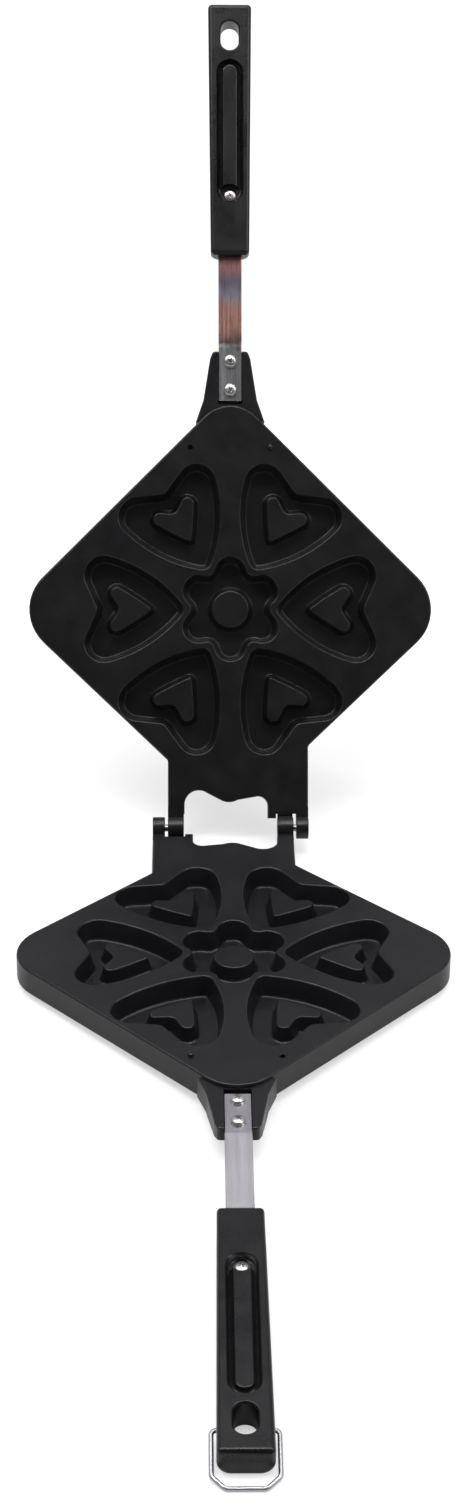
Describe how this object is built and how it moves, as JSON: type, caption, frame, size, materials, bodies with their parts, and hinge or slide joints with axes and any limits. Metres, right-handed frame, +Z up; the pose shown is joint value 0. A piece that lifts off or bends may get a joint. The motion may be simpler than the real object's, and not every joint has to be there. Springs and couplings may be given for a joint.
{
  "type": "stovetop waffle iron",
  "caption": "Hinged stovetop waffle iron: two cast plates with heart moulds round a flower, long handles and a wire bail that latches them shut.",
  "frame": {"origin": "bottom centre of the box round the iron as it stands open, on the table plane", "axes": "+Z up; -Y along the lower handle, away from the hinge; +X along the hinge axis, to the right when seen from the lower handle"},
  "size_m": [0.2332, 0.7799, 0.414],
  "materials": {
    "plate_coating": "cast aluminium under a satin, nearly black non-stick coating",
    "handle_plastic": "moulded black phenolic plastic, satin",
    "tang_steel": "flat strip steel, heat-tinted near the plate",
    "screw_steel": "bright zinc-plated steel",
    "washer_steel": "plain steel",
    "pin_steel": "plain steel",
    "wire_steel": "drawn stainless wire"
  },
  "bodies": {
    "lower_half": {"lower_plate": "plate_coating", "hinge_pin_left": "pin_steel", "lower_tang": "tang_steel", "lower_handle": "handle_plastic", "lower_tang_screw_inner": "screw_steel", "lower_tang_screw_outer": "screw_steel", "lower_washer_inner": "washer_steel", "lower_washer_outer": "washer_steel", "lower_handle_screw": "screw_steel"},
    "upper_half": {"upper_plate": "plate_coating", "hinge_pin_right": "pin_steel", "upper_tang": "tang_steel", "upper_handle": "handle_plastic", "upper_tang_screw_inner": "screw_steel", "upper_tang_screw_outer": "screw_steel", "upper_washer_inner": "washer_steel", "upper_washer_outer": "washer_steel", "upper_handle_screw": "screw_steel"},
    "bail": {"latch_bail": "wire_steel"}
  },
  "joints": [
    {"name": "lid_hinge", "type": "hinge", "parent": "lower_half", "child": "upper_half", "pos_m": [0, 0.10389, 0.01486], "axis": [1, 0, 0], "range_deg": [0, 121.6]},
    {"name": "bail_hinge", "type": "hinge", "parent": "lower_half", "child": "bail", "pos_m": [0, -0.36068, 0.00619], "axis": [-1, 0, 0], "range_deg": [0, 160]}
  ]
}
